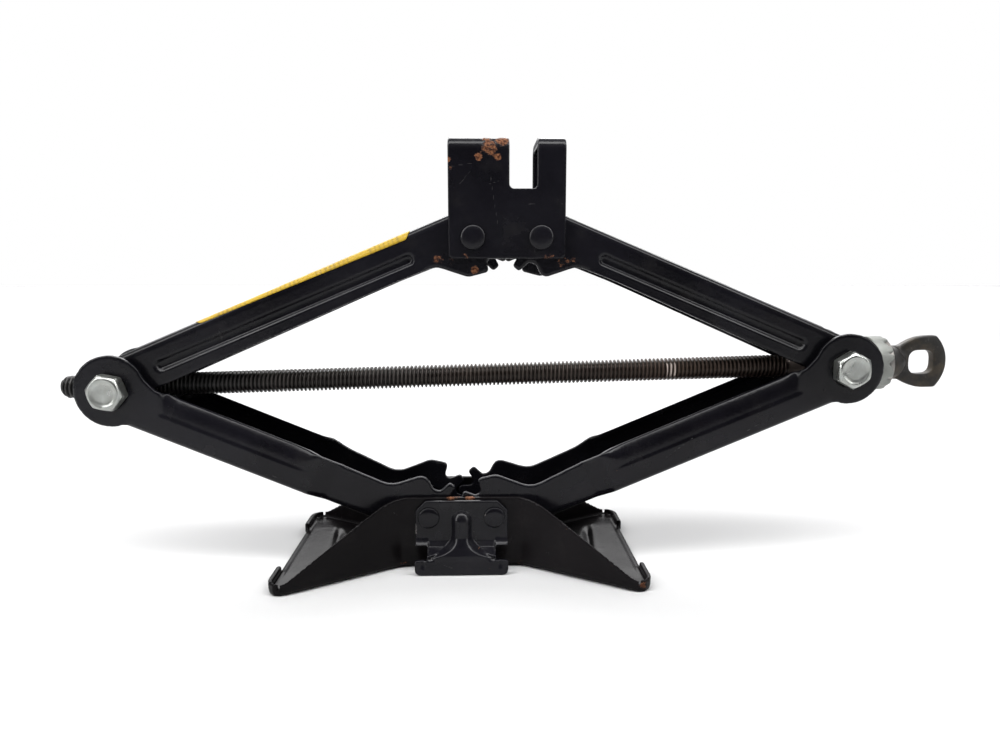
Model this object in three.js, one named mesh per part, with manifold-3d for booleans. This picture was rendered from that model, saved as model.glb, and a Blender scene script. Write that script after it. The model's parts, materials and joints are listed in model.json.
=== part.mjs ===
// Scissor car jack. Millimetres, +X right, +Y back, +Z up.
// The origin is on the ground, under the middle of the base.

import * as THREE from 'three';
import { mergeVertices } from 'three/addons/utils/BufferGeometryUtils.js';
import Module from 'manifold-3d';

const wasm = await Module();
wasm.setup();

// Linkage: a lower left and upper right arm of one length, a lower right and upper left arm of another.
const LONG_ARM = 186;
const SHORT_ARM = 162;
const PIN_OFFSET = 16;
const REST_ANGLE = THREE.MathUtils.degToRad(22.7);
const BASE_PIN_HEIGHT = 26.2;
const GAP = 0.3;

// Sheet thicknesses
const ARM_SHEET = 2.5;
const SADDLE_SHEET = 3;
const BASE_SHEET = 2.5;

// Arms: half widths are to the outside of the walls
const LOWER_INNER_HALF = 16;
const LOWER_OUTER_HALF = 19;
const UPPER_HALF = 14.2;
const LOWER_WEB = -13.3;
const UPPER_WEB = -14.3;
const LIP_TOP = 8;
const LIP_DEPTH = 4.5;
const JOGGLE_START = 50;
const JOGGLE_END = 60;
const EAR_RADIUS = 17;
const UPPER_END_RADIUS = 14.3;
const BEND_RADIUS = 3.5;
const LOWER_WEB_CUT = 12;
const UPPER_WEB_CUT = 17;
const BEAD_START = 30;
const BEAD_END_GAP = 23;
const BEAD_HALF = 4;
const BEAD_DEPTH = 1;
const BEAD_CENTRE = -1.6;
const LABEL_START = 26.5;
const LABEL_END_GAP = 48.5;
const LABEL_HALF = 9.5;

// Gear teeth on the inner ends of the arms
const TOOTH_PITCH = 40;
const TIP_RADIUS = 18.7;
const ROOT_RADIUS = 12.9;
const TIP_HALF_ANGLE = 6;
const ROOT_HALF_ANGLE = 14;

// Saddle
const SADDLE_HALF_LENGTH = 27.4;
const SADDLE_BELOW_PINS = 9.8;
const SADDLE_ABOVE_PINS = 45.7;
const SADDLE_BEND = 6;
const SLOT_CENTRE = 7.6;
const SLOT_HALF_WIDTH = 6.5;
const SLOT_DEPTH = 23.4;

// Base pan
const BASE_HALF_LENGTH = 88.3;
const BASE_WAIST_HALF = 18.8;
const BASE_END_HALF = 56;
const BASE_STRAIGHT_HALF = 29;
const FLANGE_TOP = 35.3;
const LIP_HEIGHT = 5.8;
const CORNER_LIP = 27;
const FLANGE_SHOULDER = 34.8;
const FLANGE_FOOT = 79.3;
const FLOOR_INSET = 1.4;

// Brackets on the base
const BRACKET_HALF = 22.5;
const BRACKET_SHEET = 2.5;
const BRACKET_TOP = 34.5;
const BRACKET_STEP = 12.7;
const FOOT_TOP = 9;
const FOOT_OUT = 29.5;

// Pins and bolts
const BASE_PIN_RADIUS = 4;
const BASE_HEAD_RADIUS = 5.3;
const SADDLE_PIN_RADIUS = 4.5;
const SADDLE_HEAD_RADIUS = 5.85;
const JOURNAL_RADIUS = 7.5;
const BOLT_RADIUS = 5;
const BOLT_FLATS = 16;
const BOLT_HEAD = 6.4;
const BOLT_REACH = 8.3;
const SPACER_RADIUS = 12;

// Screw and its bearing, as distances from the right trunnion's axis
const SCREW_RADIUS = 5.6;
const SCREW_TIP = -384.3;
const THREAD_END = -23.6;
const SHANK_RADIUS = 5;
const COLLAR_START = 26.4;
const COLLAR_RADIUS = 10;
const NECK = 32;
const EYE_CENTRE = 45.1;
const EYE_WIDEST = 52.5;
const EYE_END = 58.1;
const EYE_HALF_HEIGHT = 13.2;
const EYE_THICKNESS = 5;
const EYE_HOLE_WIDTH = 12.7;
const EYE_HOLE_HEIGHT = 12.1;
const NUT_BORE = 7.5;
const TRUNNION_RADIUS = 11;
const TRUNNION_HALF = 11.4;
const BALL_COUNT = 8;
const BALL_RADIUS = 2.1;
const BALL_CIRCLE = 8.8;
const RACE_RADIUS = 12.3;

// Joint centres in the XZ plane
const along = (start, length, angle) => new THREE.Vector2(
  start.x + length * Math.cos(angle),
  start.y + length * Math.sin(angle),
);
const BASE_LEFT = new THREE.Vector2(-PIN_OFFSET, BASE_PIN_HEIGHT);
const BASE_RIGHT = new THREE.Vector2(PIN_OFFSET, BASE_PIN_HEIGHT);
const TRUNNION_LEFT = along(BASE_LEFT, SHORT_ARM, Math.PI - REST_ANGLE);
const TRUNNION_RIGHT = along(BASE_RIGHT, LONG_ARM, REST_ANGLE);
const SADDLE_LEFT = along(TRUNNION_LEFT, LONG_ARM, REST_ANGLE);
const SADDLE_RIGHT = along(TRUNNION_RIGHT, SHORT_ARM, Math.PI - REST_ANGLE);
const SCREW_TILT = Math.atan2(TRUNNION_RIGHT.y - TRUNNION_LEFT.y, TRUNNION_RIGHT.x - TRUNNION_LEFT.x);

const paint = () => new THREE.MeshStandardMaterial({ color: 0x17171a, roughness: 0.42, metalness: 0.3 });
const zinc = () => new THREE.MeshStandardMaterial({ color: 0xb9bab2, roughness: 0.35, metalness: 0.9 });
const phosphate = () => new THREE.MeshStandardMaterial({ color: 0x2b2421, roughness: 0.55, metalness: 0.6 });
const steel = () => new THREE.MeshStandardMaterial({ color: 0x8a8782, roughness: 0.4, metalness: 0.9 });
const vinyl = () => new THREE.MeshStandardMaterial({ color: 0xe0a61c, roughness: 0.5, metalness: 0 });

// Solids

function toSolid(geometry) {
  const bare = geometry.clone();
  bare.deleteAttribute('normal');
  bare.deleteAttribute('uv');
  const merged = mergeVertices(bare, 1e-4);
  return new wasm.Manifold(new wasm.Mesh({
    numProp: 3,
    vertProperties: new Float32Array(merged.attributes.position.array),
    triVerts: new Uint32Array(merged.index.array),
  }));
}

function toMesh(name, solid, material) {
  const { vertProperties, triVerts } = solid.getMesh();
  const geometry = new THREE.BufferGeometry();
  geometry.setAttribute('position', new THREE.BufferAttribute(new Float32Array(vertProperties), 3));
  geometry.setIndex(new THREE.BufferAttribute(new Uint32Array(triVerts), 1));
  geometry.computeVertexNormals();
  const mesh = new THREE.Mesh(geometry, material);
  mesh.name = name;
  return mesh;
}

const unite = (...solids) => solids.reduce((whole, piece) => whole.add(piece));
const cut = (solid, ...tools) => tools.reduce((rest, tool) => rest.subtract(tool), solid);

// An outline's corners are [x, z] or [x, z, radius]; a radius is rounded with an arc.
function rounded(corners, steps = 4) {
  const points = [];
  corners.forEach(([x, z, radius = 0], i) => {
    const corner = new THREE.Vector2(x, z);
    if (radius === 0) {
      points.push(corner);
      return;
    }
    const before = corners.at(i - 1);
    const after = corners[(i + 1) % corners.length];
    const back = new THREE.Vector2(before[0] - x, before[1] - z);
    const ahead = new THREE.Vector2(after[0] - x, after[1] - z);
    const room = 0.48 * Math.min(back.length(), ahead.length());
    back.normalize();
    ahead.normalize();
    const half = Math.acos(THREE.MathUtils.clamp(back.dot(ahead), -1, 1)) / 2;
    const reach = Math.min(radius / Math.tan(half), room);
    const bisector = back.clone().add(ahead).normalize();
    const centre = corner.clone().addScaledVector(bisector, reach / Math.cos(half));
    const from = corner.clone().addScaledVector(back, reach).sub(centre);
    const to = corner.clone().addScaledVector(ahead, reach).sub(centre);
    const turn = Math.atan2(from.cross(to), from.dot(to));
    for (let k = 0; k <= steps; k += 1) {
      points.push(from.clone().rotateAround(new THREE.Vector2(), (turn * k) / steps).add(centre));
    }
  });
  return points;
}

function arc(centreX, centreZ, radius, startDegrees, endDegrees, steps) {
  const points = [];
  for (let k = 0; k <= steps; k += 1) {
    const angle = THREE.MathUtils.degToRad(startDegrees + ((endDegrees - startDegrees) * k) / steps);
    points.push([centreX + radius * Math.cos(angle), centreZ + radius * Math.sin(angle)]);
  }
  return points;
}

// A flat outline in the XZ plane, with thickness from y0 to y1
function sidePlate(points, y0, y1) {
  const geometry = new THREE.ExtrudeGeometry(new THREE.Shape(points), {
    depth: y1 - y0, bevelEnabled: false, curveSegments: 1,
  });
  geometry.rotateX(Math.PI / 2);
  geometry.translate(0, y1, 0);
  return toSolid(geometry);
}

// A flat outline in the YZ plane, with thickness from x0 to x1
function crossPlate(points, x0, x1) {
  const geometry = new THREE.ExtrudeGeometry(new THREE.Shape(points), {
    depth: x1 - x0, bevelEnabled: false, curveSegments: 1,
  });
  const [x, y, z] = [new THREE.Vector3(1, 0, 0), new THREE.Vector3(0, 1, 0), new THREE.Vector3(0, 0, 1)];
  geometry.applyMatrix4(new THREE.Matrix4().makeBasis(y, z, x));
  geometry.translate(x0, 0, 0);
  return toSolid(geometry);
}

// A flat outline in the XY plane, with thickness from z0 to z1
function floorPlate(points, z0, z1) {
  const geometry = new THREE.ExtrudeGeometry(new THREE.Shape(points), {
    depth: z1 - z0, bevelEnabled: false, curveSegments: 1,
  });
  geometry.translate(0, 0, z0);
  return toSolid(geometry);
}

function block(x0, x1, y0, y1, z0, z1) {
  const geometry = new THREE.BoxGeometry(x1 - x0, y1 - y0, z1 - z0);
  geometry.translate((x0 + x1) / 2, (y0 + y1) / 2, (z0 + z1) / 2);
  return toSolid(geometry);
}

// A round rod along Y, centred on (x, z)
function crossRod(radius, y0, y1, x = 0, z = 0, sides = 24) {
  const geometry = new THREE.CylinderGeometry(radius, radius, y1 - y0, sides);
  geometry.translate(x, (y0 + y1) / 2, z);
  return toSolid(geometry);
}

// A turned shape about the X axis; the profile's points are [x, radius]
function turned(profile, sides = 32) {
  const geometry = new THREE.LatheGeometry(profile.map(([x, radius]) => new THREE.Vector2(radius, x)), sides);
  geometry.rotateZ(-Math.PI / 2);
  return toSolid(geometry);
}

// A closed body through rings that all have the same number of points
function loft(rings) {
  const count = rings[0].length;
  const positions = rings.flat().flatMap((p) => [p.x, p.y, p.z]);
  const index = [];
  for (let r = 0; r < rings.length - 1; r += 1) {
    for (let k = 0; k < count; k += 1) {
      const a = r * count + k;
      const b = r * count + ((k + 1) % count);
      index.push(a, b, b + count, a, b + count, a + count);
    }
  }
  const flat = rings[0].map((p) => new THREE.Vector2(p.y, p.z));
  const last = (rings.length - 1) * count;
  THREE.ShapeUtils.triangulateShape(flat, []).forEach(([a, b, c]) => {
    index.push(c, b, a);
    index.push(last + a, last + b, last + c);
  });
  const geometry = new THREE.BufferGeometry();
  geometry.setAttribute('position', new THREE.Float32BufferAttribute(positions, 3));
  geometry.setIndex(index);
  return toSolid(geometry);
}

// Arms: x runs from the inner pin to the trunnion, +z is the open side, +y is the toothed wall

function polar(radius, degrees, rounding) {
  const angle = THREE.MathUtils.degToRad(degrees);
  return [-radius * Math.sin(angle), radius * Math.cos(angle), rounding];
}

const tooth = (centre) => [
  polar(TIP_RADIUS, centre - TIP_HALF_ANGLE, 1.4),
  polar(TIP_RADIUS, centre + TIP_HALF_ANGLE, 1.4),
  polar(ROOT_RADIUS, centre + ROOT_HALF_ANGLE, 1.4),
];
const toothAfterSpace = (centre) => [polar(ROOT_RADIUS, centre - ROOT_HALF_ANGLE, 1.4), ...tooth(centre)];

// The wall's end from the open edge's dip, over the hump and round the teeth to the web side
function toothedEnd(dip, hump) {
  const first = ROOT_HALF_ANGLE + 2;
  return [
    dip, hump, [3, 12.4, 2], [-0.6, 12.4, 2],
    ...tooth(first), ...toothAfterSpace(first + TOOTH_PITCH), ...toothAfterSpace(first + 2 * TOOTH_PITCH),
  ];
}

function plainEnd(dip, hump, shoulder) {
  const first = ROOT_HALF_ANGLE + 2 + TOOTH_PITCH / 2;
  return [
    dip, hump, shoulder, polar(12.7, 8, 1.6),
    ...toothAfterSpace(first), ...toothAfterSpace(first + TOOTH_PITCH),
  ];
}

function lowerOutline(length, end) {
  const webEnd = length - LOWER_WEB_CUT;
  return rounded([
    [JOGGLE_END + 1, 30], [JOGGLE_END + 0.5, LIP_TOP - 0.1], [JOGGLE_START, 6.9, 6], ...end,
    [-9.5, LOWER_WEB, 6], [4, LOWER_WEB], [4, -20],
    [webEnd - 0.2, -20], [webEnd - 0.2, LOWER_WEB + 0.3],
    ...arc(length, 0, EAR_RADIUS, -131, 138, 16),
    [length - 19, 8.3, 8], [length - 24.5, LIP_TOP - 0.1], [length - 25, 30],
  ], 3);
}

function upperOutline(length, end) {
  return rounded([
    [length - 15.5, 7.2, 4], [42, 5, 10], ...end, [-9.5, UPPER_WEB, 6], [4, UPPER_WEB], [4, -20],
    [length - 1, -20], ...arc(length, 0, UPPER_END_RADIUS, -90, 128, 14),
  ], 3);
}

// One half of a channel's section, from its open edge to its web; lip is how far its edge turns inwards
function halfSection({ half, top, bottom, sheet, lip }, x) {
  const edge = lip > sheet + 1 ? BEND_RADIUS : 0.3;
  const inner = BEND_RADIUS - sheet;
  const innerEdge = Math.max(edge - sheet, 0.1);
  const bend = (y, z, radius, from) => arc(y, z, radius, from, from - 90, 3);
  const outside = [
    [half - lip, top], ...bend(half - edge, top - edge, edge, 90),
    ...bend(half - BEND_RADIUS, bottom + BEND_RADIUS, BEND_RADIUS, 0),
  ];
  const inside = [
    [half - lip, top - sheet],
    ...bend(half - sheet - innerEdge, top - sheet - innerEdge, innerEdge, 90),
    ...bend(half - BEND_RADIUS, bottom + BEND_RADIUS, inner, 0),
  ];
  const place = ([y, z]) => new THREE.Vector3(x, y, z);
  return { outside: outside.map(place), inside: inside.map(place) };
}

function channelRing(section, x) {
  const { outside, inside } = halfSection(section, x);
  const mirror = (points) => points.map((p) => new THREE.Vector3(p.x, -p.y, p.z));
  const clockwise = [
    ...outside, ...mirror(outside).reverse(), ...mirror(inside), ...[...inside].reverse(),
  ];
  return clockwise.reverse();
}

function lowerChannel(length) {
  const plain = { bottom: LOWER_WEB, sheet: ARM_SHEET, lip: ARM_SHEET + 0.4 };
  const inner = { ...plain, half: LOWER_INNER_HALF, top: 25 };
  const ear = { ...plain, half: LOWER_OUTER_HALF, top: 25 };
  const lipped = { ...plain, half: LOWER_OUTER_HALF, top: LIP_TOP, lip: LIP_DEPTH };
  const deepEar = { ...ear, bottom: -30 };
  const webEnd = length - LOWER_WEB_CUT;
  const stations = [
    [inner, -25], [inner, JOGGLE_START], [ear, JOGGLE_END - 1], [{ ...ear, top: LIP_TOP }, JOGGLE_END],
    [lipped, JOGGLE_END + 5], [lipped, length - 30], [{ ...ear, top: LIP_TOP + 0.5 }, length - 23.5],
    [ear, length - 18], [ear, webEnd - 0.1], [deepEar, webEnd], [deepEar, length + 22],
  ];
  return loft(stations.map(([section, x]) => channelRing(section, x)));
}

function upperChannel(length) {
  const section = { half: UPPER_HALF, top: 25, bottom: UPPER_WEB, sheet: ARM_SHEET, lip: ARM_SHEET + 0.4 };
  return loft([channelRing(section, -25), channelRing(section, length + 22)]);
}

// A shallow groove pressed along the outside of an upper arm's wall
function bead(length, side) {
  const end = length - BEAD_END_GAP - BEAD_HALF;
  const racetrack = [
    ...arc(end, BEAD_CENTRE, BEAD_HALF, -90, 90, 6),
    ...arc(BEAD_START + BEAD_HALF, BEAD_CENTRE, BEAD_HALF, 90, 270, 6),
  ];
  const outline = racetrack.map(([x, z]) => new THREE.Vector2(x, z));
  const wall = side > 0 ? UPPER_HALF : -UPPER_HALF;
  return sidePlate(outline, wall - BEAD_DEPTH, wall + BEAD_DEPTH);
}

function trimmed(channel, toothed, plain) {
  return channel.intersect(sidePlate(toothed, 0, 30).add(sidePlate(plain, -30, 0.01)));
}

function lowerArm(length) {
  const walls = trimmed(
    lowerChannel(length),
    lowerOutline(length, toothedEnd([23, 6.1, 12], [9.2, 17.7, 4.5])),
    lowerOutline(length, plainEnd([22, 4.9, 11], [8.6, 17.7, 7], [-0.8, 19.3, 1.8])),
  );
  const inside = LOWER_INNER_HALF - ARM_SHEET;
  const earInside = LOWER_OUTER_HALF - ARM_SHEET;
  return cut(
    walls,
    block(-40, 4, -inside, inside, -30, 30),
    block(length - LOWER_WEB_CUT, length + 30, -earInside, earInside, -30, 30),
    crossRod(BASE_PIN_RADIUS + GAP, -30, 30),
    crossRod(JOURNAL_RADIUS + GAP, -30, 30, length),
  );
}

function upperArm(length) {
  const walls = trimmed(
    upperChannel(length),
    upperOutline(length, toothedEnd([21.6, 5.5, 9], [8.2, 17.2, 3.5])),
    upperOutline(length, plainEnd([21.6, 5.5, 9], [9.2, 16.2, 6], [-0.8, 17.6, 1.6])),
  );
  const inside = UPPER_HALF - ARM_SHEET;
  return cut(
    walls,
    block(-40, 0, -inside, inside, -30, 30),
    block(length - UPPER_WEB_CUT, length + 30, -inside, inside, -30, 30),
    crossRod(SADDLE_PIN_RADIUS + GAP, -30, 30),
    crossRod(JOURNAL_RADIUS + GAP, -30, 30, length),
    bead(length, 1),
    bead(length, -1),
  );
}

function label(length) {
  return block(
    LABEL_START, length - LABEL_END_GAP, -LABEL_HALF, LABEL_HALF, UPPER_WEB - 0.5, UPPER_WEB - 0.2,
  );
}

// Saddle: x is measured from midway between its pins, z from the pins

function saddle() {
  const top = SADDLE_ABOVE_PINS;
  const half = UPPER_HALF + GAP + SADDLE_SHEET;
  const section = (reach, bottom, height, radius) => rounded([
    [-reach, bottom], [reach, bottom], [reach, height, radius], [-reach, height, radius],
  ], 6).map((p) => new THREE.Vector3(0, p.x, p.y));
  const place = (ring, x) => ring.map((p) => new THREE.Vector3(x, p.y, p.z));
  const outer = section(half, -SADDLE_BELOW_PINS, top, SADDLE_BEND);
  const inner = section(
    half - SADDLE_SHEET, -SADDLE_BELOW_PINS - 5, top - SADDLE_SHEET, SADDLE_BEND - SADDLE_SHEET,
  );
  const reach = SADDLE_HALF_LENGTH;
  const shell = loft([place(outer, -reach), place(outer, reach)])
    .subtract(loft([place(inner, -reach - 5), place(inner, reach + 5)]));
  const corners = sidePlate(rounded([
    [-reach, -SADDLE_BELOW_PINS, 2], [reach, -SADDLE_BELOW_PINS, 2], [reach, top + 1], [-reach, top + 1],
  ]), -30, 30);
  const slot = sidePlate(rounded([
    [SLOT_CENTRE - SLOT_HALF_WIDTH, top + 5], [SLOT_CENTRE - SLOT_HALF_WIDTH, top - SLOT_DEPTH, 2],
    [SLOT_CENTRE + SLOT_HALF_WIDTH, top - SLOT_DEPTH, 2], [SLOT_CENTRE + SLOT_HALF_WIDTH, top + 5],
  ]), -30, 30);
  const hole = (x) => crossRod(SADDLE_PIN_RADIUS + GAP, -30, 30, x);
  return cut(shell.intersect(corners), slot, hole(-PIN_OFFSET), hole(PIN_OFFSET));
}

// Base

function basePlan(inset, corner) {
  const waist = BASE_WAIST_HALF - inset;
  const end = BASE_END_HALF - inset;
  const straight = BASE_STRAIGHT_HALF;
  const x = BASE_HALF_LENGTH - inset;
  return rounded([
    [x, -end, corner], [x, end, corner], [straight, waist, 8], [-straight, waist, 8],
    [-x, end, corner], [-x, -end, corner], [-straight, -waist, 8], [straight, -waist, 8],
  ]);
}

function basePan() {
  const outer = floorPlate(basePlan(0, 7), 0, 40);
  const inner = floorPlate(basePlan(BASE_SHEET, 4.5), BASE_SHEET, 41);
  const profile = sidePlate(rounded([
    [-100, -1], [100, -1],
    [100, LIP_HEIGHT], [FLANGE_FOOT, LIP_HEIGHT, 5], [FLANGE_SHOULDER, FLANGE_TOP, 25],
    [-FLANGE_SHOULDER, FLANGE_TOP, 25], [-FLANGE_FOOT, LIP_HEIGHT, 5], [-100, LIP_HEIGHT],
  ]), -80, 80);
  const gap = BASE_END_HALF - CORNER_LIP;
  const wallEnd = BASE_HALF_LENGTH - BASE_SHEET - 1;
  const floorEnd = BASE_HALF_LENGTH - FLOOR_INSET;
  const hole = (x) => crossRod(BASE_PIN_RADIUS + GAP, -40, 40, x, BASE_PIN_HEIGHT);
  return cut(
    outer.subtract(inner).intersect(profile),
    block(wallEnd, 100, -gap, gap, BASE_SHEET, 20),
    block(floorEnd, 100, -gap, gap, -1, 20),
    block(-100, -wallEnd, -gap, gap, BASE_SHEET, 20),
    block(-100, -floorEnd, -gap, gap, -1, 20),
    hole(-PIN_OFFSET),
    hole(PIN_OFFSET),
  );
}

// The bracket in front of the near flange: one sheet, stepped forward to its foot, with a pressed rib
function bracket() {
  const back = -(BASE_WAIST_HALF + GAP);
  const face = back - BRACKET_SHEET;
  const footBack = BRACKET_SHEET - FOOT_OUT;
  const sheet = crossPlate(rounded([
    [back, BRACKET_TOP], [back, BRACKET_STEP - 0.5, 2], [footBack, FOOT_TOP - 2, 2], [footBack, 0],
    [-FOOT_OUT, 0], [-FOOT_OUT, FOOT_TOP, 3], [face, BRACKET_STEP + 2, 4], [face, BRACKET_TOP],
  ]), -BRACKET_HALF, BRACKET_HALF);
  const front = sidePlate(rounded([
    [-BRACKET_HALF, 0, 2.5], [BRACKET_HALF, 0, 2.5], [BRACKET_HALF, BRACKET_TOP - 5],
    [BRACKET_HALF - 5, BRACKET_TOP], [5 - BRACKET_HALF, BRACKET_TOP], [-BRACKET_HALF, BRACKET_TOP - 5],
  ]), -30, 0);
  const ribFront = sidePlate(rounded([
    [-17, 6], [17, 6], [17, 9.5, 1], [7, 11.5, 7], [4.6, 29.5, 4.4], [-4.6, 29.5, 4.4],
    [-7, 11.5, 7], [-17, 9.5, 1],
  ]), -FOOT_OUT, face + 0.5);
  const ribSide = crossPlate(rounded([
    [face + 0.5, 30], [face - 2.5, 30, 2], [face - 4, 26, 3], [face - 4, 16, 8], [-FOOT_OUT, 8.5, 3],
    [-FOOT_OUT, 6], [face + 0.5, 6],
  ]), -18, 18);
  const bridge = BRACKET_HALF - 6;
  const notch = (x0, x1) => block(x0, x1, -30, 0, FOOT_TOP - 1.8, BRACKET_STEP);
  const hole = (x) => crossRod(BASE_PIN_RADIUS + GAP, -40, 0, x, BASE_PIN_HEIGHT);
  return cut(
    sheet.intersect(front).add(ribFront.intersect(ribSide)),
    notch(-30, -bridge),
    notch(bridge, 30),
    hole(-PIN_OFFSET),
    hole(PIN_OFFSET),
  );
}

// A rivet through both sides: reach is half its grip, with a low domed head at each end
function rivet(radius, headRadius, reach) {
  const height = 1.6;
  const halfProfile = [
    [reach, radius], [reach, headRadius], [reach + 0.7 * height, headRadius * 0.97],
    [reach + height, headRadius * 0.8], [reach + height, 0],
  ];
  const other = halfProfile.map(([x, r]) => [-x, r]).reverse();
  const geometry = new THREE.LatheGeometry(
    [...other, ...halfProfile].map(([x, r]) => new THREE.Vector2(r, x)), 24,
  );
  return toSolid(geometry);
}

// Side joints: the middle is at the origin, the near bolt's head faces -y

function bolt() {
  const seat = LOWER_OUTER_HALF + GAP;
  const corner = BOLT_FLATS / Math.sqrt(3);
  const head = new THREE.CylinderGeometry(corner, corner, BOLT_HEAD, 6);
  head.translate(0, -seat - BOLT_HEAD / 2, 0);
  const chamfer = new THREE.CylinderGeometry(corner + 1, corner * 0.86, BOLT_HEAD, 24);
  chamfer.translate(0, -seat - BOLT_HEAD / 2 + 0.4, 0);
  return toSolid(head).intersect(toSolid(chamfer)).add(crossRod(BOLT_RADIUS, -seat - 1, -BOLT_REACH));
}

function spacer() {
  const inner = UPPER_HALF + GAP;
  const outer = LOWER_OUTER_HALF - ARM_SHEET - GAP;
  return crossRod(SPACER_RADIUS, -outer, -inner).subtract(crossRod(JOURNAL_RADIUS + GAP, -30, 0));
}

const rod = (x0, x1, radius, sides = 32) => turned([[x0, 0], [x0, radius], [x1, radius], [x1, 0]], sides);

// A cross block with a journal at each end and a hub along the screw, tapped for the bolts
function trunnion(hub, screwBore) {
  const body = crossRod(TRUNNION_RADIUS, -TRUNNION_HALF, TRUNNION_HALF);
  const journals = crossRod(JOURNAL_RADIUS, -LOWER_OUTER_HALF, LOWER_OUTER_HALF);
  const tapping = BOLT_RADIUS + GAP;
  return cut(
    unite(body, journals, hub),
    crossRod(tapping, -30, -BOLT_REACH + GAP),
    crossRod(tapping, BOLT_REACH - GAP, 30),
    rod(-25, 25, screwBore),
  );
}

const nutTrunnion = () => trunnion(rod(-13, 13, 10.6), NUT_BORE);
const bearingTrunnion = () => trunnion(rod(-12, 17, COLLAR_RADIUS), SHANK_RADIUS + GAP);

function race(x0) {
  const hole = SHANK_RADIUS + GAP;
  return turned([[x0, hole], [x0, RACE_RADIUS], [x0 + 2, RACE_RADIUS], [x0 + 2, hole], [x0, hole]]);
}

function bearingCover() {
  const skin = RACE_RADIUS + GAP;
  const hole = COLLAR_RADIUS + GAP;
  return turned([
    [17.6, skin], [17.6, skin + 1], [26, skin + 1], [28.4, 11.6], [29, hole], [27.5, hole],
    [26.3, skin], [17.6, skin],
  ]);
}

function ball(index) {
  const geometry = new THREE.SphereGeometry(BALL_RADIUS, 12, 8);
  const angle = (2 * Math.PI * index) / BALL_COUNT;
  geometry.translate(21.7, BALL_CIRCLE * Math.cos(angle), BALL_CIRCLE * Math.sin(angle));
  return toSolid(geometry);
}

function screw() {
  const shaft = turned([
    [SCREW_TIP, 0], [SCREW_TIP, SCREW_RADIUS - 2], [SCREW_TIP + 2, SCREW_RADIUS],
    [THREAD_END - 1, SCREW_RADIUS], [THREAD_END, SHANK_RADIUS], [COLLAR_START, SHANK_RADIUS],
    [COLLAR_START, COLLAR_RADIUS], [NECK - 2.5, COLLAR_RADIUS], [NECK, 8.3], [NECK + 4, 3], [NECK + 4, 0],
  ]);
  const rise = EYE_END - EYE_WIDEST;
  const endRadius = (EYE_HALF_HEIGHT ** 2 + rise ** 2) / (2 * rise);
  const endAngle = THREE.MathUtils.radToDeg(Math.asin(EYE_HALF_HEIGHT / endRadius));
  const paddle = sidePlate(rounded([
    [NECK - 2, -8.3], [NECK + 1, -8.3, 5], [NECK + 8, -11.8, 8], [NECK + 13, -EYE_HALF_HEIGHT, 8],
    ...arc(EYE_END - endRadius, 0, endRadius, -endAngle, endAngle, 10),
    [NECK + 13, EYE_HALF_HEIGHT, 8], [NECK + 8, 11.8, 8], [NECK + 1, 8.3, 5], [NECK - 2, 8.3],
  ]), -EYE_THICKNESS / 2, EYE_THICKNESS / 2);
  const [wide, tall] = [EYE_HOLE_WIDTH / 2, EYE_HOLE_HEIGHT / 2];
  const hole = sidePlate(rounded([
    [EYE_CENTRE - wide, -tall, 5.2], [EYE_CENTRE + wide, -tall, 5.2],
    [EYE_CENTRE + wide, tall, 5.2], [EYE_CENTRE - wide, tall, 5.2],
  ]), -10, 10);
  return shaft.add(paddle).subtract(hole);
}

// Assembly

const jack = new THREE.Group();

function groupAt(point, angleY = 0) {
  const group = new THREE.Group();
  group.position.set(point.x, 0, point.y);
  group.rotation.y = angleY;
  jack.add(group);
  return group;
}

function addBase() {
  jack.add(toMesh('base_pan', basePan(), paint()));
  const front = toMesh('front_bracket', bracket(), paint());
  const rear = toMesh('rear_bracket', bracket(), paint());
  rear.rotation.z = Math.PI;
  jack.add(front, rear);
  const grip = BASE_WAIST_HALF + 2 * GAP + BRACKET_SHEET;
  [['left', BASE_LEFT], ['right', BASE_RIGHT]].forEach(([side, point]) => {
    const pin = rivet(BASE_PIN_RADIUS, BASE_HEAD_RADIUS, grip);
    groupAt(point).add(toMesh(`base_pin_${side}`, pin, paint()));
  });
}

function addArms() {
  const lowerLeft = toMesh('lower_left_arm', lowerArm(SHORT_ARM), paint());
  lowerLeft.rotation.z = Math.PI;
  groupAt(BASE_LEFT, REST_ANGLE).add(lowerLeft);
  groupAt(BASE_RIGHT, -REST_ANGLE).add(toMesh('lower_right_arm', lowerArm(LONG_ARM), paint()));
  groupAt(SADDLE_LEFT, Math.PI - REST_ANGLE).add(
    toMesh('upper_left_arm', upperArm(LONG_ARM), paint()),
    toMesh('label', label(LONG_ARM), vinyl()),
  );
  const upperRight = toMesh('upper_right_arm', upperArm(SHORT_ARM), paint());
  upperRight.rotation.x = Math.PI;
  groupAt(SADDLE_RIGHT, REST_ANGLE).add(upperRight);
}

function addSaddle() {
  const middle = SADDLE_LEFT.clone().add(SADDLE_RIGHT).multiplyScalar(0.5);
  groupAt(middle).add(toMesh('saddle', saddle(), paint()));
  const grip = UPPER_HALF + 2 * GAP + SADDLE_SHEET;
  [['left', SADDLE_LEFT], ['right', SADDLE_RIGHT]].forEach(([side, point]) => {
    const pin = rivet(SADDLE_PIN_RADIUS, SADDLE_HEAD_RADIUS, grip);
    groupAt(point).add(toMesh(`saddle_pin_${side}`, pin, paint()));
  });
}

// The bolts and spacers of one side joint, near and far
function addJointParts(side, point, boltTurn) {
  const group = groupAt(point);
  [['front', 0], ['rear', Math.PI]].forEach(([face, turn]) => {
    const screwed = toMesh(`${side}_bolt_${face}`, bolt(), zinc());
    screwed.rotation.set(0, boltTurn, turn);
    const ring = toMesh(`${side}_spacer_${face}`, spacer(), steel());
    ring.rotation.z = turn;
    group.add(screwed, ring);
  });
}

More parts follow.
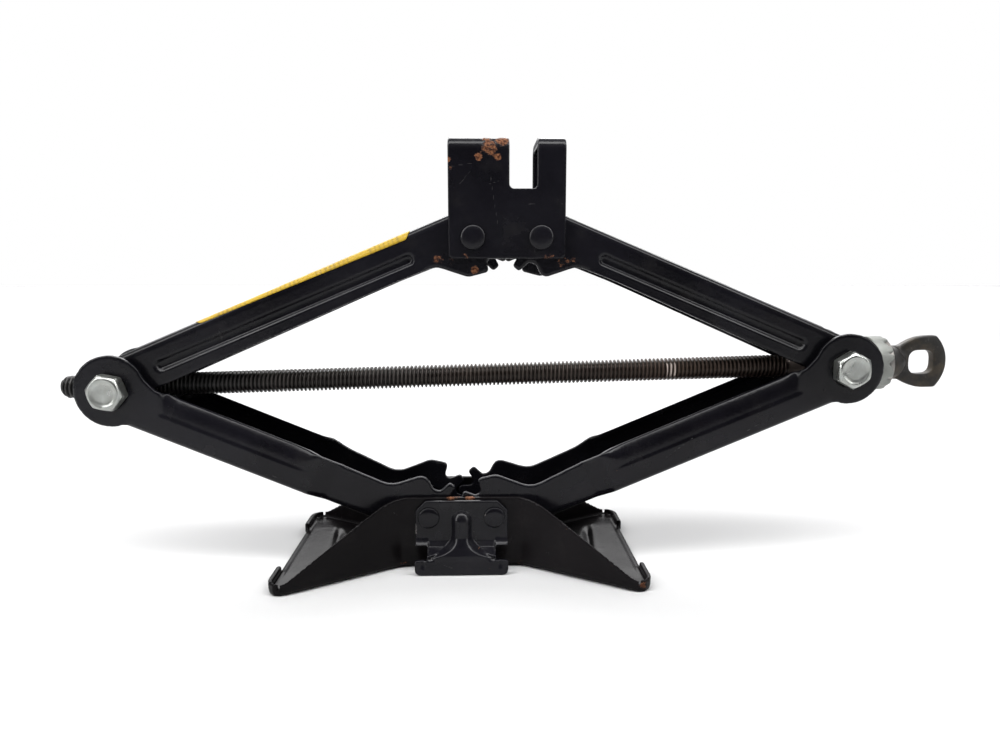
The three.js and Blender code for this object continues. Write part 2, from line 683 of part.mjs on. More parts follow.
function addScrew() {
  groupAt(TRUNNION_LEFT, -SCREW_TILT).add(toMesh('nut_trunnion', nutTrunnion(), steel()));
  const axis = groupAt(TRUNNION_RIGHT, -SCREW_TILT);
  axis.add(
    toMesh('bearing_trunnion', bearingTrunnion(), steel()),
    toMesh('inner_race', race(17.3), steel()),
    toMesh('outer_race', race(24.1), steel()),
    toMesh('bearing_cover', bearingCover(), zinc()),
    toMesh('lead_screw', screw(), phosphate()),
  );
  for (let i = 0; i < BALL_COUNT; i += 1) {
    axis.add(toMesh(`bearing_ball_${i + 1}`, ball(i), steel()));
  }
}

addBase();
addArms();
addSaddle();
addJointParts('left', TRUNNION_LEFT, THREE.MathUtils.degToRad(-19));
addJointParts('right', TRUNNION_RIGHT, THREE.MathUtils.degToRad(-2));
addScrew();

export default jack;
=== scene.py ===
"""A black pressed-steel scissor jack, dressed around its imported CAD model."""

import json
import math

import bmesh
import bpy
import numpy as np
from mathutils import Matrix, Vector, noise


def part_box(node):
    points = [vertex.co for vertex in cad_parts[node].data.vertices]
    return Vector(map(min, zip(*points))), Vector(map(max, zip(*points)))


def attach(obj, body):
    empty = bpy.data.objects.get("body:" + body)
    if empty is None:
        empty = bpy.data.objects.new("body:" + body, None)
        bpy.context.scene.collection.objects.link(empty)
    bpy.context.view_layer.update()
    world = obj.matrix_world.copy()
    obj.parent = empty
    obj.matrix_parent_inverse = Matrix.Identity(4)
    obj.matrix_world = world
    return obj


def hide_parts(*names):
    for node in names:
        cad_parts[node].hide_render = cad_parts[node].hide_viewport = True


# Metres in a millimetre. Every size below is in millimetres, and so is each shape function's frame.
MM = 0.001

# Arms: x runs from the inner pin to the trunnion, y across the jack, z towards the channel's open side
PIN_OFFSET = 16.0
SHEET = 2.5
UPPER_HALF = 14.2
UPPER_WEB = -14.3
UPPER_FOLD = 3.5
UPPER_END_RADIUS = 14.3
LOWER_HALF = 19.0
NESTING_HALF = 14.5
EAR_RADIUS = 17.0
BEAD_START = 29.0
BEAD_END_GAP = 22.0
BEAD_CENTRE = -2.1
BEAD_HALF = 3.3
BEAD_FLAT = 1.1
BEAD_DEPTH = 1.7

# Label on the upper left arm
LABEL_START = 26.5
LABEL_END_GAP = 48.5
LABEL_FRAME_HALF = 9.0
LABEL_PANEL_PITCH = 26
LABEL_BAND = 15

# Base pan and brackets
PAN_WAIST_HALF = 18.8
PAN_END_HALF = 56.0
PAN_STRAIGHT_HALF = 29.0
PAN_FOLD = 2.5
RIB_HALF = 4.7
RIB_SHOULDER = 24.9

# Trunnion bolts, measured from the middle of the jack along their own axis
BOLT_FLATS = 16.0
BOLT_SEAT = 19.3
BOLT_HEAD = 6.4
BOLT_REACH = 8.3
BOLT_RADIUS = 5.0

# Screw: x runs along it from the bearing's centre towards the eye
THREAD_PITCH = 2.0
THREAD_DEPTH = 1.15
SCREW_RADIUS = 5.6
SCREW_TIP = -384.3
THREAD_END = -23.6
SHANK_RADIUS = 5.0
COLLAR_START = 26.4
EYE_CENTRE = 45.1
EYE_WIDEST = 52.5
EYE_END = 58.0
EYE_HALF_HEIGHT = 13.2
CUP_RADIUS = 13.6
CUP_LINING = 12.65

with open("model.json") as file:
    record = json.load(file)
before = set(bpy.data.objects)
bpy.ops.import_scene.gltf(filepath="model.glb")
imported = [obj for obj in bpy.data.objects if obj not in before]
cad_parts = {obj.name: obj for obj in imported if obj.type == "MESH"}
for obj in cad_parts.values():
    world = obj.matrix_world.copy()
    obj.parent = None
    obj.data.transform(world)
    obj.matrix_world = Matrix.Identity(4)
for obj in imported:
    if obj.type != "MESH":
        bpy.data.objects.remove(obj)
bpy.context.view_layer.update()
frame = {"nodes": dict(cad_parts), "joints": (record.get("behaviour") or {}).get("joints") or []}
nodes = frame["nodes"]
joints = {joint["name"]: joint for joint in frame["joints"]}


def joint_place(name):
    """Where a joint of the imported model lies, in metres in the row frame."""
    return Vector(joints[name]["pos_m"])


BASE_LEFT = joint_place("lower_left_pivot")
BASE_RIGHT = joint_place("lower_right_pivot")
LEFT = joint_place("nut_pivot")
RIGHT = joint_place("bearing_pivot")
SADDLE_LEFT = joint_place("saddle_pivot")
SADDLE_RIGHT = SADDLE_LEFT + Vector((2 * PIN_OFFSET * MM, 0, 0))
SCREW_AXIS = (RIGHT - LEFT).normalized()


def local_frame(origin, x_axis, z_hint):
    """A matrix from a part's own millimetres to the row frame."""
    x = Vector(x_axis).normalized()
    y = Vector(z_hint).cross(x).normalized()
    z = x.cross(y)
    rotation = Matrix((x, y, z)).transposed().to_4x4()
    return Matrix.Translation(origin) @ rotation @ Matrix.Scale(MM, 4)


# ---------------------------------------------------------------- node helpers


class Nodes:
    """Short calls for building a material's node tree."""

    def __init__(self, name):
        self.material = bpy.data.materials.new(name)
        self.material.use_nodes = True
        self.tree = self.material.node_tree
        self.shader = self.tree.nodes["Principled BSDF"]
        self.coordinates = self.add("ShaderNodeTexCoord").outputs["Object"]

    def add(self, kind, **settings):
        node = self.tree.nodes.new(kind)
        for key, value in settings.items():
            setattr(node, key, value)
        return node

    def put(self, socket, value):
        if isinstance(value, bpy.types.NodeSocket):
            self.tree.links.new(value, socket)
        else:
            socket.default_value = value

    def noise(self, scale, detail=4.0, roughness=0.55, vector=None):
        node = self.add("ShaderNodeTexNoise")
        self.put(node.inputs["Vector"], vector or self.coordinates)
        node.inputs["Scale"].default_value = scale
        node.inputs["Detail"].default_value = detail
        node.inputs["Roughness"].default_value = roughness
        return node.outputs["Fac"]

    def stretched(self, scale):
        node = self.add("ShaderNodeMapping")
        self.put(node.inputs["Vector"], self.coordinates)
        node.inputs["Scale"].default_value = scale
        return node.outputs["Vector"]

    def math(self, operation, a, b=0.0):
        node = self.add("ShaderNodeMath", operation=operation)
        self.put(node.inputs[0], a)
        self.put(node.inputs[1], b)
        return node.outputs[0]

    def step(self, value, low, high, to_low=0.0, to_high=1.0):
        node = self.add("ShaderNodeMapRange", interpolation_type="SMOOTHSTEP")
        self.put(node.inputs["Value"], value)
        node.inputs["From Min"].default_value = low
        node.inputs["From Max"].default_value = high
        node.inputs["To Min"].default_value = to_low
        node.inputs["To Max"].default_value = to_high
        return node.outputs["Result"]

    def mix(self, factor, a, b):
        node = self.add("ShaderNodeMix", data_type="RGBA")
        self.put(node.inputs["Factor"], factor)
        self.put(node.inputs["A"], a)
        self.put(node.inputs["B"], b)
        return node.outputs["Result"]

    def attribute(self, name):
        return self.add("ShaderNodeAttribute", attribute_name=name).outputs["Fac"]

    def bump(self, height, strength, distance, normal=None):
        node = self.add("ShaderNodeBump")
        self.put(node.inputs["Height"], height)
        node.inputs["Strength"].default_value = strength
        node.inputs["Distance"].default_value = distance
        if normal is not None:
            self.put(node.inputs["Normal"], normal)
        return node.outputs["Normal"]

    def finish(self, **sockets):
        for name, value in sockets.items():
            self.put(self.shader.inputs[name.replace("_", " ")], value)
        return self.material


def worn_edges(n, low, high):
    """One on a piece's convex edges, broken up by noise."""
    edge = n.step(n.add("ShaderNodeNewGeometry").outputs["Pointiness"], low, high)
    broken = n.step(n.noise(90.0, 6.0), 0.44, 0.62)
    return n.math("MULTIPLY", edge, broken)


def black_paint(name, tint=(0.0046, 0.0044, 0.0060), gloss=0.20, edges=(0.56, 0.62)):
    """Satin stoving paint: faint orange peel, dust, scuffs, scratches, and wear down to rusty steel."""
    n = Nodes(name)
    cloud = n.noise(14.0, 5.0)
    grime = n.noise(60.0, 6.0, 0.65)
    dark = (*[c * 0.62 for c in tint], 1)
    light = (*[c * 1.5 for c in tint], 1)
    paint = n.mix(n.step(cloud, 0.35, 0.68), dark, light)
    dust = n.math("MULTIPLY", n.step(grime, 0.5, 0.78), 0.08)
    paint = n.mix(dust, paint, (0.060, 0.055, 0.050, 1))
    rust = n.mix(n.step(n.noise(900.0, 6.0), 0.38, 0.62), (0.040, 0.014, 0.008, 1), (0.20, 0.085, 0.042, 1))
    ragged = n.noise(220.0, 5.0, 0.65, n.stretched((1.0, 1.0, 1.7)))
    patch = n.math("ADD", n.attribute("wear"), ragged)
    patch = n.math("ADD", patch, n.math("MULTIPLY", n.noise(1500.0, 6.0, 0.7), 0.6))
    patch = n.step(patch, 1.44, 1.56)
    scratch = n.math("ADD", n.attribute("scratch"), n.math("MULTIPLY", n.noise(500.0, 4.0), 0.5))
    scratch = n.math("MULTIPLY", n.step(scratch, 1.0, 1.35), 0.20)
    edge = n.math("MULTIPLY", worn_edges(n, *edges), 0.6)
    colour = n.mix(edge, paint, (0.21, 0.20, 0.19, 1))
    colour = n.mix(scratch, colour, (0.30, 0.29, 0.28, 1))
    colour = n.mix(patch, colour, rust)
    rough = n.step(n.noise(35.0, 5.0, 0.6), 0.3, 0.75, 0.15, 0.27)
    rough = n.math("ADD", rough, n.math("MULTIPLY", dust, 0.9))
    rough = n.math("ADD", rough, n.math("MULTIPLY", patch, 0.35))
    peel = n.bump(n.noise(620.0, 2.0, 0.4), 0.10, 0.0004)
    waves = n.bump(n.noise(75.0, 3.0), 0.12, 0.0010, peel)
    chips = n.bump(n.math("SUBTRACT", 1.0, patch), 0.35, 0.0003, waves)
    shine = n.step(patch, 0.0, 1.0, gloss, 0.06)
    return n.finish(Base_Color=colour, Roughness=rough, Normal=chips, Metallic=0.0, Specular_IOR_Level=shine)


def zinc_plate(name):
    """Yellowish bright zinc, with white bloom and handling marks."""
    n = Nodes(name)
    bloom = n.step(n.noise(160.0, 6.0, 0.65), 0.42, 0.68)
    colour = n.mix(n.noise(60.0, 4.0), (0.31, 0.33, 0.32, 1), (0.37, 0.37, 0.34, 1))
    colour = n.mix(n.math("MULTIPLY", bloom, 0.45), colour, (0.45, 0.47, 0.46, 1))
    pits = n.step(n.noise(520.0, 6.0, 0.7), 0.60, 0.72)
    colour = n.mix(n.math("MULTIPLY", pits, 0.4), colour, (0.22, 0.22, 0.20, 1))
    rough = n.step(n.noise(90.0, 5.0), 0.3, 0.7, 0.22, 0.46)
    normal = n.bump(n.noise(240.0, 5.0, 0.6), 0.22, 0.0006)
    return n.finish(Base_Color=colour, Roughness=rough, Normal=normal, Metallic=0.92)


def dull_zinc(name):
    """The bearing cup's grey-white zinc, chalky with stains."""
    n = Nodes(name)
    stain = n.step(n.noise(120.0, 7.0, 0.7), 0.50, 0.70)
    colour = n.mix(n.noise(240.0, 6.0), (0.14, 0.145, 0.135, 1), (0.27, 0.28, 0.26, 1))
    colour = n.mix(n.math("MULTIPLY", stain, 0.6), colour, (0.075, 0.070, 0.060, 1))
    rough = n.step(n.noise(90.0, 5.0), 0.3, 0.7, 0.42, 0.66)
    normal = n.bump(n.noise(380.0, 6.0, 0.7), 0.45, 0.0006)
    return n.finish(Base_Color=colour, Roughness=rough, Normal=normal, Metallic=0.55)


def dark_steel(name, brown=(0.050, 0.040, 0.028), rough_range=(0.40, 0.62), bare=0.25):
    """Blackened, oiled forged steel with brown oxide and a few bare rubs."""
    n = Nodes(name)
    oxide = n.step(n.noise(70.0, 6.0, 0.65), 0.42, 0.66)
    colour = n.mix(oxide, (0.020, 0.019, 0.018, 1), (*brown, 1))
    rub = n.step(n.noise(260.0, 6.0, 0.7), 0.58, 0.70)
    colour = n.mix(n.math("MULTIPLY", rub, bare), colour, (0.22, 0.20, 0.18, 1))
    edge = n.math("MULTIPLY", worn_edges(n, 0.54, 0.62), 0.5)
    colour = n.mix(edge, colour, (0.24, 0.22, 0.20, 1))
    rough = n.step(n.noise(110.0, 5.0), 0.3, 0.7, *rough_range)
    normal = n.bump(n.noise(330.0, 6.0, 0.65), 0.35, 0.0006)
    return n.finish(Base_Color=colour, Roughness=rough, Normal=normal, Metallic=0.65)


def greased_thread(name):
    """Black greasy thread, browner towards the bearing: its crests are painted lighter and its roots darker,
    partly grease left in the roots and partly painted highlight and painted shade.
    """
    n = Nodes(name)
    crest = n.attribute("crest")
    smear = n.step(n.noise(45.0, 6.0, 0.65), 0.40, 0.62)
    tone = n.mix(n.attribute("brown"), (0.008, 0.008, 0.008, 1), (0.022, 0.014, 0.010, 1))
    # Crest colour: painted highlight on the thread's turns, dimmed where grease smears; the root colour holds
    # painted shade as well as grease.
    shine = n.mix(n.attribute("brown"), (0.040, 0.038, 0.037, 1), (0.060, 0.040, 0.030, 1))
    colour = n.mix(n.math("MULTIPLY", crest, n.step(smear, 0.0, 1.0, 0.55, 1.0)), tone, shine)
    colour = n.mix(n.attribute("mark"), colour, (0.52, 0.44, 0.40, 1))
    rough = n.math("ADD", n.step(smear, 0.0, 1.0, 0.30, 0.44), n.math("MULTIPLY", crest, 0.06))
    normal = n.bump(n.noise(900.0, 4.0), 0.15, 0.0003)
    return n.finish(Base_Color=colour, Roughness=rough, Normal=normal, Metallic=0.6)


def turned_steel(name):
    """Plain turned steel with fine rings and oil stains."""
    n = Nodes(name)
    rings = n.noise(60.0, 4.0, 0.6, n.stretched((60.0, 1.0, 1.0)))
    colour = n.mix(rings, (0.16, 0.15, 0.14, 1), (0.36, 0.35, 0.33, 1))
    stain = n.step(n.noise(80.0, 6.0, 0.7), 0.48, 0.68)
    colour = n.mix(n.math("MULTIPLY", stain, 0.65), colour, (0.060, 0.050, 0.042, 1))
    rough = n.step(n.noise(140.0, 5.0), 0.3, 0.7, 0.28, 0.50)
    normal = n.bump(rings, 0.10, 0.0003)
    return n.finish(Base_Color=colour, Roughness=rough, Normal=normal, Metallic=0.9)


def label_vinyl(name):
    """A yellow strip with a plain orange head and pale panels, and no lettering."""
    n = Nodes(name)
    base = n.mix(n.noise(120.0, 4.0), (0.36, 0.225, 0.010, 1), (0.45, 0.30, 0.020, 1))
    base = n.mix(n.attribute("panel"), base, (0.66, 0.50, 0.22, 1))
    base = n.mix(n.attribute("band"), base, (0.62, 0.15, 0.025, 1))
    base = n.mix(n.attribute("rule"), base, (0.045, 0.035, 0.020, 1))
    worn = n.step(n.noise(190.0, 7.0, 0.7), 0.60, 0.70)
    base = n.mix(n.math("MULTIPLY", worn, 0.5), base, (0.35, 0.24, 0.10, 1))
    rough = n.step(n.noise(90.0, 4.0), 0.3, 0.7, 0.38, 0.55)
    normal = n.bump(n.noise(300.0, 4.0), 0.12, 0.0003)
    return n.finish(Base_Color=base, Roughness=rough, Normal=normal, Metallic=0.0, Specular_IOR_Level=0.25)


PAINT = black_paint("satin_black_paint")
PAN_PAINT = black_paint("pan_black_paint", (0.0052, 0.0045, 0.0050), 0.075)
ZINC = zinc_plate("bright_zinc")
CUP_ZINC = dull_zinc("dull_zinc")
FORGED = dark_steel("forged_eye_steel")
THREAD = greased_thread("greased_thread")
TURNED = turned_steel("turned_steel")
VINYL = label_vinyl("label_vinyl")


# ---------------------------------------------------------------- mesh helpers


def smooth_shaded(mesh):
    """Shades every face smoothly."""
    mesh.polygons.foreach_set("use_smooth", np.ones(len(mesh.polygons), bool))
    mesh.update()


def read_points(mesh):
    points = np.zeros(len(mesh.vertices) * 3)
    mesh.vertices.foreach_get("co", points)
    return points.reshape(-1, 3)


def write_points(mesh, points):
    mesh.vertices.foreach_set("co", points.ravel())
    mesh.update()


def write_values(mesh, name, values):
    """Stores a value from 0 to 1 at each vertex, for the materials to read."""
    attribute = mesh.attributes.new(name, "FLOAT", "POINT")
    attribute.data.foreach_set("value", np.clip(values, 0, 1).astype(np.float32))


def relaxed(mesh, points, rounds, shrink=0.55, grow=-0.57):
    """Evens out a dense mesh without shrinking it, which rounds its sharp edges a little."""
    edges = np.zeros(len(mesh.edges) * 2, int)
    mesh.edges.foreach_get("vertices", edges)
    edges = edges.reshape(-1, 2)
    count = np.bincount(edges.ravel(), minlength=len(points))[:, None]
    for weight in [shrink, grow] * rounds:
        total = np.zeros_like(points)
        for axis in range(3):
            ends = np.concatenate([points[edges[:, 1], axis], points[edges[:, 0], axis]])
            starts = np.concatenate([edges[:, 0], edges[:, 1]])
            total[:, axis] = np.bincount(starts, ends, minlength=len(points))
        points = points + weight * (total / count - points)
    return points


def piece(name, mesh, material, body, slot_name, *stands_for):
    """Adds a finished mesh, riding on a body and standing for CAD nodes."""
    smooth_shaded(mesh)
    mesh.materials.clear()
    mesh.materials.append(material)
    obj = bpy.data.objects.new(name, mesh)
    bpy.context.scene.collection.objects.link(obj)
    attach(obj, body)
    if stands_for:
        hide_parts(*stands_for)
    return obj


def dense_copy(node, place, voxel):
    """The CAD node's shape as an even, dense mesh in its own millimetres."""
    mesh = nodes[node].data.copy()
    mesh.transform(place.inverted())
    holder = bpy.data.objects.new("holder", mesh)
    bpy.context.scene.collection.objects.link(holder)
    remesh = holder.modifiers.new("remesh", "REMESH")
    remesh.mode = "VOXEL"
    remesh.voxel_size = voxel
    bpy.context.view_layer.update()
    graph = bpy.context.evaluated_depsgraph_get()
    dense = bpy.data.meshes.new_from_object(holder.evaluated_get(graph))
    bpy.data.objects.remove(holder)
    return dense


def ramp(values, low, high):
    """A smooth step from 0 at low to 1 at high."""
    t = np.clip((values - low) / (high - low), 0, 1)
    return t * t * (3 - 2 * t)


def blob(points, spots):
    """How near each point is to a list of spots (x, y, z, radius, strength), for patches of wear."""
    total = np.zeros(len(points))
    for x, y, z, radius, strength in spots:
        distance = np.linalg.norm(points - np.array((x, y, z)), axis=1)
        total = np.maximum(total, strength * (1 - ramp(distance, 0.25 * radius, radius)))
    return total


def strokes(points, lines):
    """How near each point is to a list of thin straight scratches (start, end, width)."""
    total = np.zeros(len(points))
    for start, end, width in lines:
        a, b = np.array(start, float), np.array(end, float)
        t = np.clip((points - a) @ (b - a) / ((b - a) @ (b - a)), 0, 1)
        distance = np.linalg.norm(points - a - t[:, None] * (b - a), axis=1)
        total = np.maximum(total, 1 - ramp(distance, 0.2 * width, width))
    return total


def pressed(node, place, body, material, voxel, shape=None, wear=(), scratches=(), rounds=5):
    """A pressed-steel piece: the CAD shape made dense and softened, then moved by shape(points, normals)."""
    mesh = dense_copy(node, place, voxel)
    points = relaxed(mesh, read_points(mesh), rounds)
    if shape:
        write_points(mesh, points)
        normals = np.zeros(len(mesh.vertices) * 3, np.float32)
        mesh.vertex_normals.foreach_get("vector", normals)
        points = shape(points, normals.reshape(-1, 3))
        points = relaxed(mesh, points, 2)
    write_values(mesh, "wear", blob(points, wear))
    write_values(mesh, "scratch", strokes(points, scratches))
    write_points(mesh, points)
    mesh.transform(place)
    return piece(node + "_skin", mesh, material, body, "paint", node)


def surface(rows, closed_rows=False, closed_columns=False):
    """A mesh of quads through rows of points, every row as long as the others."""
    grid = np.array(rows, float)
    count, width, _ = grid.shape
    faces = []
    for i in range(count if closed_rows else count - 1):
        for j in range(width if closed_columns else width - 1):
            k, m = (i + 1) % count, (j + 1) % width
            faces.append((i * width + j, i * width + m, k * width + m, k * width + j))
    return grid.reshape(-1, 3), faces


def build(name, points, faces):
    """A mesh whose doubled points are joined and whose faces all look outwards."""
    mesh = bpy.data.meshes.new(name)
    mesh.from_pydata([tuple(p) for p in points], [], faces)
    mesh.validate()
    work = bmesh.new()
    work.from_mesh(mesh)
    bmesh.ops.remove_doubles(work, verts=work.verts, dist=1e-6)
    bmesh.ops.recalc_face_normals(work, faces=work.faces)
    work.to_mesh(mesh)
    work.free()
    return mesh


def turned_rows(profile, segments, radius_at=None):
    """Rows of points round the X axis; radius_at can change a radius with the angle."""
    angles = np.linspace(0, 2 * math.pi, segments, endpoint=False)
    rows = []
    for x, radius in profile:
        r = np.full(segments, radius) if radius_at is None else radius_at(x, radius, angles)
        rows.append(np.stack([np.full(segments, x), r * np.cos(angles), r * np.sin(angles)], 1))
    return rows


def fillet(corners, steps=5):
    """Rounds the corners (x, y, radius) of an open outline."""
    points = []
    for i, (x, y, radius) in enumerate(corners):
        if radius == 0 or i in (0, len(corners) - 1):
            points.append((x, y))
            continue
        here = np.array((x, y))
        back = np.array(corners[i - 1][:2]) - here
        ahead = np.array(corners[i + 1][:2]) - here
        reach = min(radius, 0.48 * np.linalg.norm(back), 0.48 * np.linalg.norm(ahead))
        start = here + back / np.linalg.norm(back) * reach
        end = here + ahead / np.linalg.norm(ahead) * reach
        for t in np.linspace(0, 1, steps):
            points.append(tuple((1 - t) ** 2 * start + 2 * t * (1 - t) * here + t * t * end))
    return points


# ---------------------------------------------------------------- arms


def arm_places():
    """Each arm's own frame, from its inner pin to its trunnion with +z on its open side, and its length."""
    up, down = Vector((0, 0, 1)), Vector((0, 0, -1))
    ends = {
        "lower_left_arm": (BASE_LEFT, LEFT, up),
        "lower_right_arm": (BASE_RIGHT, RIGHT, up),
        "upper_left_arm": (SADDLE_LEFT, LEFT, down),
        "upper_right_arm": (SADDLE_RIGHT, RIGHT, down),
    }
    return {
        node: (local_frame(inner, outer - inner, side), (outer - inner).length / MM)
        for node, (inner, outer, side) in ends.items()
    }


def round_rim(points, length, radius):
    """Brings the outer end's rim onto its true circle."""
    from_centre = points[:, [0, 2]] - (length, 0)
    distance = np.linalg.norm(from_centre, axis=1)
    ahead = from_centre[:, 0] > -0.55 * radius
    rim = ahead & (distance > radius - 0.75) & (distance < radius + 0.3)
    target = distance + (radius - 0.02 - distance) * ramp(distance, radius - 0.75, radius - 0.25)
    scale = np.where(rim, target / np.maximum(distance, 1e-6), 1)
    points[:, 0] = length + from_centre[:, 0] * scale
    points[:, 2] = from_centre[:, 1] * scale
    return points


def bead_depth(x, z, length):
    """How deep an upper arm's wall is pressed in: a long groove with round ends."""
    end = length - BEAD_END_GAP
    centre = np.clip(x, BEAD_START + BEAD_HALF, end - BEAD_HALF)
    away = np.hypot(x - centre, z - BEAD_CENTRE)
    return BEAD_DEPTH * (1 - ramp(away, BEAD_FLAT, BEAD_HALF))


def upper_shape(length):
    def shape(points, normals):
        x, y, z = points.T
        depth = bead_depth(x, z, length)
        near = (np.abs(z) < 6.1) & (x > BEAD_START - 2) & (x < length - BEAD_END_GAP + 2)
        outside = normals[:, 1] * np.sign(y) > 0
        face = np.where(outside, UPPER_HALF, UPPER_HALF - SHEET)
        points[:, 1] = np.where(near, np.sign(y) * (face - depth), y)
        return round_rim(points, length, UPPER_END_RADIUS)
    return shape


def lower_shape(length):
    """The wall's upper band rolls inwards, and stops at a crease against the flat ear.

    It fades out towards NESTING_HALF, so that the upper arm still folds in between the walls.
    """
    def shape(points, normals):
        x, y, z = points.T
        pad = np.hypot(x - length, 1.15 * (z + 1.0))
        span = ramp(x, 58, 74) * ramp(pad, 23.5, 26.5)
        height = np.clip((z + 2.5) / 10.5, 0, 1.1)
        inwards = (2.0 * height ** 2.2 + 0.4 * ramp(height, 0.0, 0.12)) / (LOWER_HALF - NESTING_HALF)
        points[:, 1] = y - np.sign(y) * np.maximum(np.abs(y) - NESTING_HALF, 0) * span * inwards
        return round_rim(points, length, EAR_RADIUS)
    return shape


def add_arms():
    """All four channels, each with its own patches of wear and scratches in its own frame."""
    spots = {
        "lower_left_arm": [(60, 17, -12.5, 5, 0.62), (85, -19, -12, 4, 0.5), (38, 16, -12, 4, 0.6)],
        "lower_right_arm": [(12, 0, -12, 10, 0.6), (64, -19, -3, 2.2, 0.6), (40, -16, 4.5, 5, 0.45)],
        "upper_left_arm": [
            (5, -14, 14, 4, 0.86), (19, -14, 3.5, 6, 0.66), (14, -14, 6, 4, 0.6), (2, 14, 16, 4, 0.5),
        ],
        "upper_right_arm": [(14, 14, 6, 6, 0.68), (19, 14, 3.5, 5, 0.6), (26, 14, 3, 4, 0.4)],
    }
    marks = {
        "lower_left_arm": [((72, 19, -9), (92, 19, -12), 0.5), ((100, 19, 0), (108, 19, -3), 0.4)],
        "lower_right_arm": [((88, -19, -6), (104, -19, -2), 0.45), ((130, -19, -9), (138, -19, -8), 0.4)],
        "upper_left_arm": [((60, -14, 4), (86, -14, 5.5), 0.4), ((118, -14, -7), (126, -14, -8), 0.5)],
        "upper_right_arm": [((52, 14, -8), (70, 14, -7), 0.4)],
    }
    for node, (place, length) in arm_places().items():
        shape = upper_shape(length) if node.startswith("upper") else lower_shape(length)
        pressed(node, place, node, PAINT, 0.62, shape, spots[node], marks[node])


# ---------------------------------------------------------------- saddle and base


def add_saddle():
    """The folded saddle, in a frame whose origin lies midway between its pins."""
    middle = (SADDLE_LEFT + SADDLE_RIGHT) / 2
    place = Matrix.Translation(middle) @ Matrix.Scale(MM, 4)
    wear = [
        (-20, -17.5, -9.6, 6, 0.62), (20, -17.5, -9.6, 7, 0.60), (11, -17.5, -9.6, 5, 0.55),
        (27, -17.5, -2, 4, 0.5), (-13, -17.3, 36.5, 4, 0.82), (-4.5, -17.2, 36.5, 4, 0.80),
        (-8, -16, 40, 8, 0.74), (-2, -15, 43.5, 7, 0.82), (-9, -14, 44.5, 6, 0.72),
        (-5, -8, 45.7, 10, 0.7), (-27, -16, 35, 4, 0.84), (-26, -17.4, 31, 3, 0.6),
        (-2, 6, 44.6, 8, 0.6), (20, 4, 44.6, 8, 0.55), (-27.4, 8, 44, 5, 0.6), (20, 17.5, -9, 7, 0.6),
        (-20, 17.5, -9, 6, 0.6), (-12, -17.5, 38, 3, 0.58),
    ]
    scratches = [
        ((-26, -17.5, 32), (-16, -17.5, 33.5), 0.45), ((-8, -17.5, 30), (-6, -17.5, 16), 0.4),
        ((-6, -17.5, 16), (-4, -17.5, 4), 0.4), ((-9, -17.5, 24), (-4, -17.5, 25.5), 0.45),
        ((-22, -17.5, 24), (-17, -17.5, 30), 0.5), ((10, -17.5, 15), (13, -17.5, 15.4), 0.7),
        ((-14, -17.5, 36), (-9, -17.5, 33), 0.5),
    ]
    pressed("saddle", place, "saddle", PAINT, 0.6, None, wear, scratches, 6)


def plan_distance(x, y):
    """How far a point lies inside the pan's outline, which is straight at the waist and then flares."""
    _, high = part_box("base_pan")
    half_length = high.x / MM
    slope = math.atan2(PAN_END_HALF - PAN_WAIST_HALF, half_length - PAN_STRAIGHT_HALF)
    from_waist = PAN_WAIST_HALF - np.abs(y)
    slanted = from_waist * math.cos(slope) + (np.abs(x) - PAN_STRAIGHT_HALF) * math.sin(slope)
    return np.minimum(np.maximum(from_waist, slanted), half_length - np.abs(x))


def pan_shape(points, normals):
    """Rounds the fold between floor and sides, and presses a groove across each end of the floor."""
    x, y, z = points.T
    inside = plan_distance(x, y)
    out, down = PAN_FOLD - inside, PAN_FOLD - z
    further = np.maximum(out, down)
    corner = (out > 0) & (down > 0) & (further > 0.55 * PAN_FOLD)
    factor = np.where(corner, further / np.maximum(np.hypot(out, down), 1e-6), 1)
    points[:, 2] = np.where(corner, PAN_FOLD - down * factor, z)
    points[:, 1] -= np.sign(y) * np.where(corner, out * (1 - factor), 0)
    groove = np.exp(-(((np.abs(x) - 66 - 0.10 * y) / 2.0) ** 2)) * (1 - ramp(np.abs(y), 20, 34))
    step = 0.9 * ramp(np.abs(x), 66, 72) * (1 - ramp(np.abs(y), 30, 42))
    on_floor = (z < 4.0) & (inside > 4.0)
    points[:, 2] += np.where(on_floor & (z > 1.4), 0.5 * step - 1.1 * groove, 0)
    return points


def bracket_shape(points, normals):
    """Makes the bracket's stepped rib a smooth pressed one, half round above and flaring to a wide skirt."""
    x, y, z = points.T
    side = np.sign(y)
    plate = np.interp(z, (7.5, 9.5, 12.0, 14.5), (29.4, 28.8, 23.2, 21.6))
    crown = np.interp(z, (7.5, 9.5, 13.0, 17.0, 25.0, 30.0), (29.4, 29.3, 27.6, 26.1, 25.7, 25.0))
    half = RIB_HALF + 12.0 * np.clip((17.5 - z) / 9.0, 0, 1) ** 2.3
    inside = np.where(z > RIB_SHOULDER, RIB_HALF - np.hypot(x, z - RIB_SHOULDER), half - np.abs(x))
    rise = np.clip(inside / 4.6, 0, 1)
    front = plate + (crown - plate) * np.sqrt(1 - (1 - rise) ** 2)
    groove = np.exp(-(((np.abs(x) - half + 1.4) / 1.5) ** 2))
    skirt = 1.3 * groove * (1 - ramp(z, 10.0, 15.0)) * ramp(z, 5.5, 8.0)
    zone = (np.abs(x) < 16.3) & (z > 7.2) & (z < 32) & (normals[:, 1] * side > -0.35) & (np.abs(y) > 20)
    shaped = np.where(zone, front - skirt * (rise > 0), np.abs(y))
    dents = 1.1 * np.exp(-(((np.abs(x) - 18.8) / 1.3) ** 2) - ((z - 5.6) / 2.2) ** 2)
    foot = (z < 9) & (np.abs(y) > 27.6)
    points[:, 1] = side * np.where(foot, shaped - dents, shaped)
    return points


